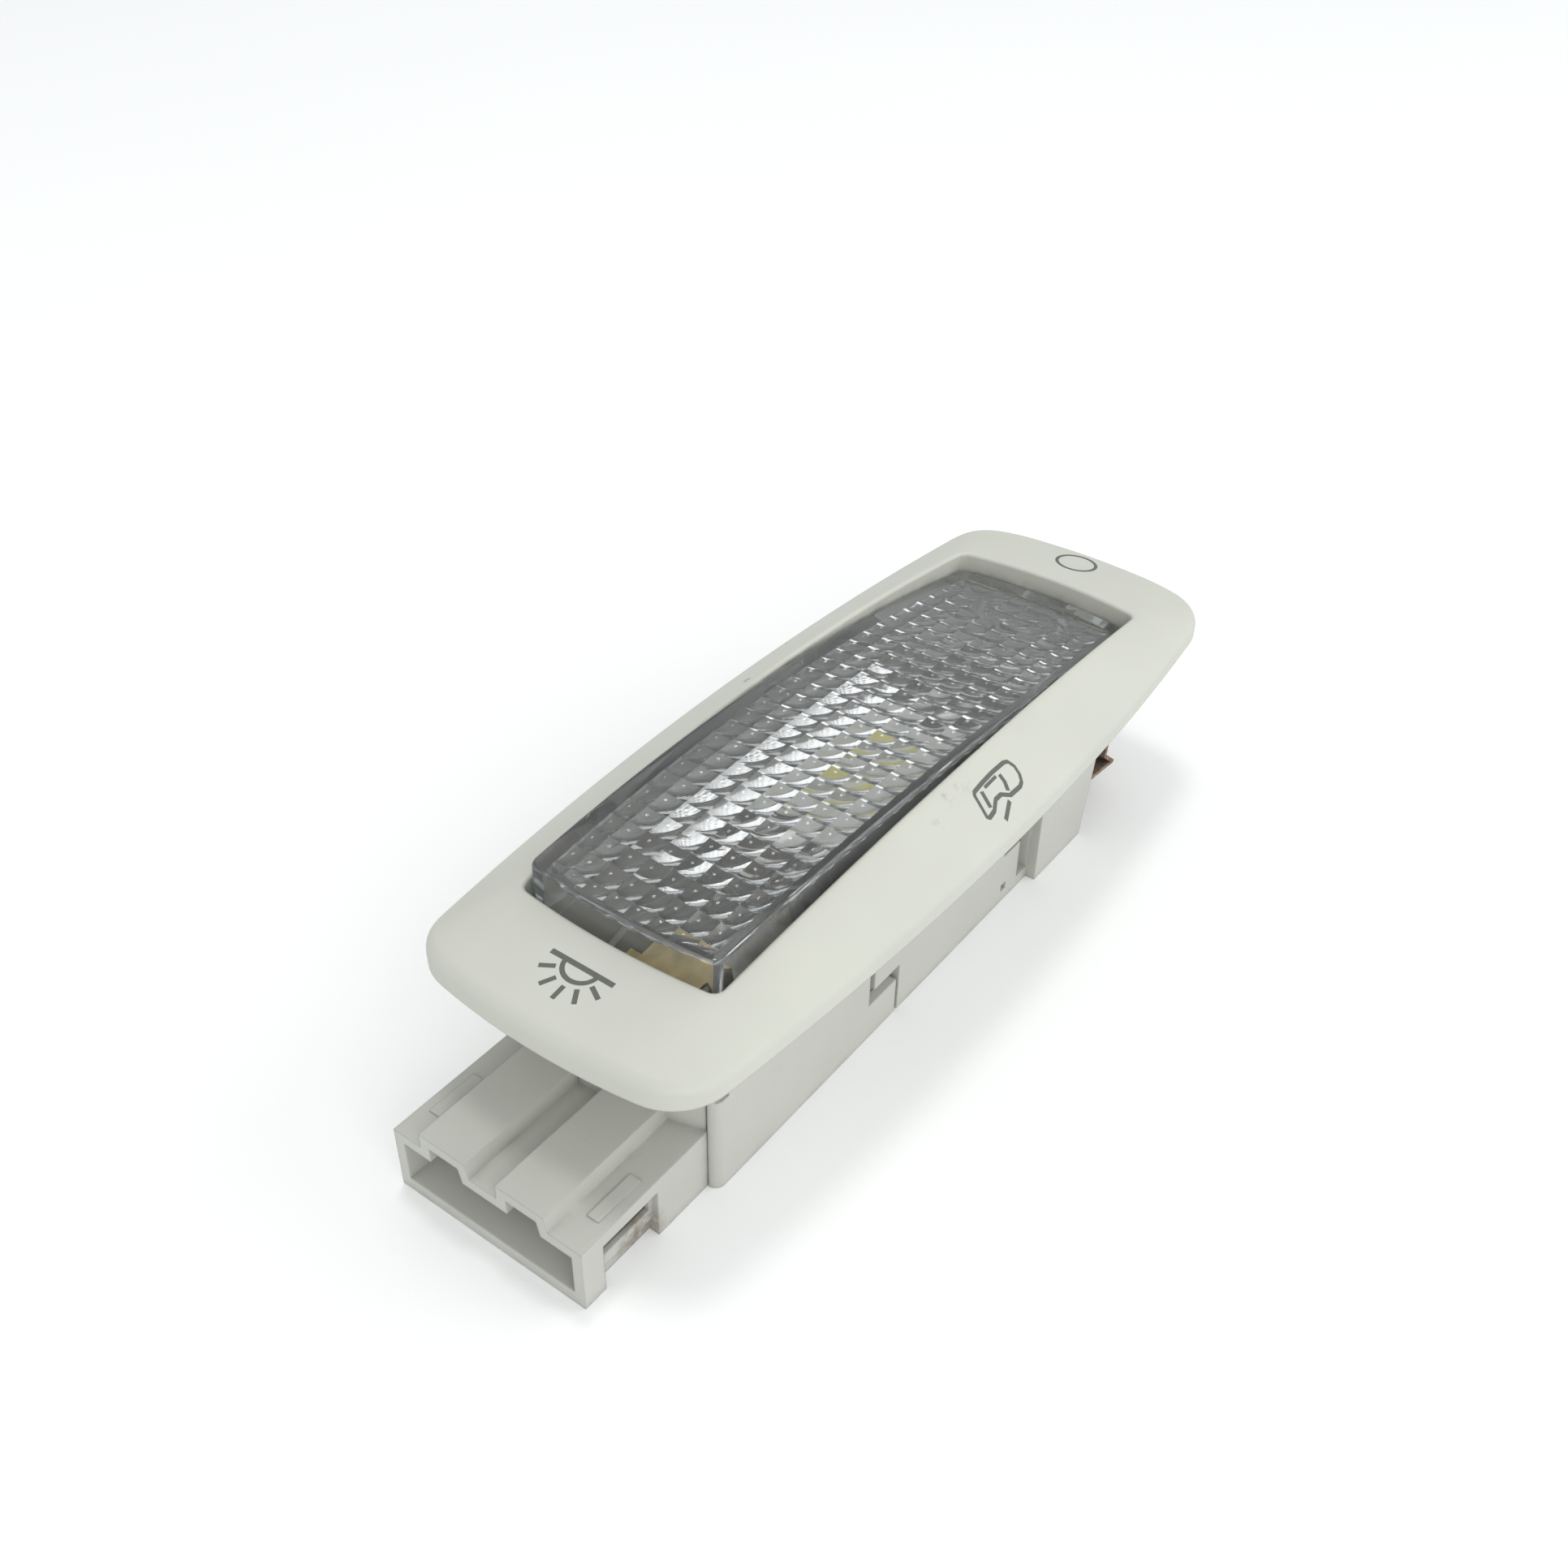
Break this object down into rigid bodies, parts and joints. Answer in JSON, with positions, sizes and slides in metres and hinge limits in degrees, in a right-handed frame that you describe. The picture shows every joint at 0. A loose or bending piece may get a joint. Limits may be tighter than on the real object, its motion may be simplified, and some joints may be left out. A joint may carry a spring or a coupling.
{
  "type": "car interior dome light",
  "caption": "Car interior lamp in a crowned barrel-shaped bezel; its smoked prism lens rocks as the switch over a festoon-type chip lamp, with a keyed plug socket at one end.",
  "frame": {"origin": "on the flat back of the housing, under the middle of the lens opening", "axes": "+Z out of the lens, +X from the plug socket towards the far end, +Y across the lamp"},
  "size_m": [0.1123, 0.0404, 0.0289],
  "materials": {
    "bezel_plastic": "fine-grained light warm grey",
    "housing_plastic": "light warm grey, slightly dull",
    "smoked_lens": "smoked clear with a moulded prism grid",
    "reflector_sheet": "bright",
    "heat_sink": "satin",
    "board": "white solder mask",
    "phosphor": "yellow phosphor",
    "resistor": "black",
    "cap_metal": "nickel-plated",
    "contact_brass": "dull brass",
    "spring_steel": "plain spring steel",
    "rusty_steel": "brown, lightly rusted"
  },
  "bodies": {
    "body": {"bezel": "bezel_plastic", "housing": "housing_plastic", "terminal_cover": "housing_plastic", "connector_carrier": "housing_plastic", "reflector": "reflector_sheet", "lamp_heat_sink": "heat_sink", "lamp_board": "board", "lamp_chip_near": "phosphor", "lamp_chip_far": "phosphor", "lamp_resistors": "resistor", "lamp_cap_near": "cap_metal", "lamp_cap_far": "cap_metal", "lamp_holder_near": "cap_metal", "lamp_holder_far": "cap_metal", "terminal_lamp": "contact_brass", "terminal_door": "contact_brass", "terminal_ground": "contact_brass", "switch_leaf_on": "contact_brass", "switch_leaf_off": "cap_metal", "detent_spring": "spring_steel", "retaining_spring": "rusty_steel"},
    "lens": {"lens_rocker": "smoked_lens"}
  },
  "joints": [
    {"name": "lens_rock", "type": "hinge", "parent": "body", "child": "lens", "pos_m": [0, 0, 0.0223], "axis": [0, -1, 0], "range_deg": [0, 6.88]}
  ]
}
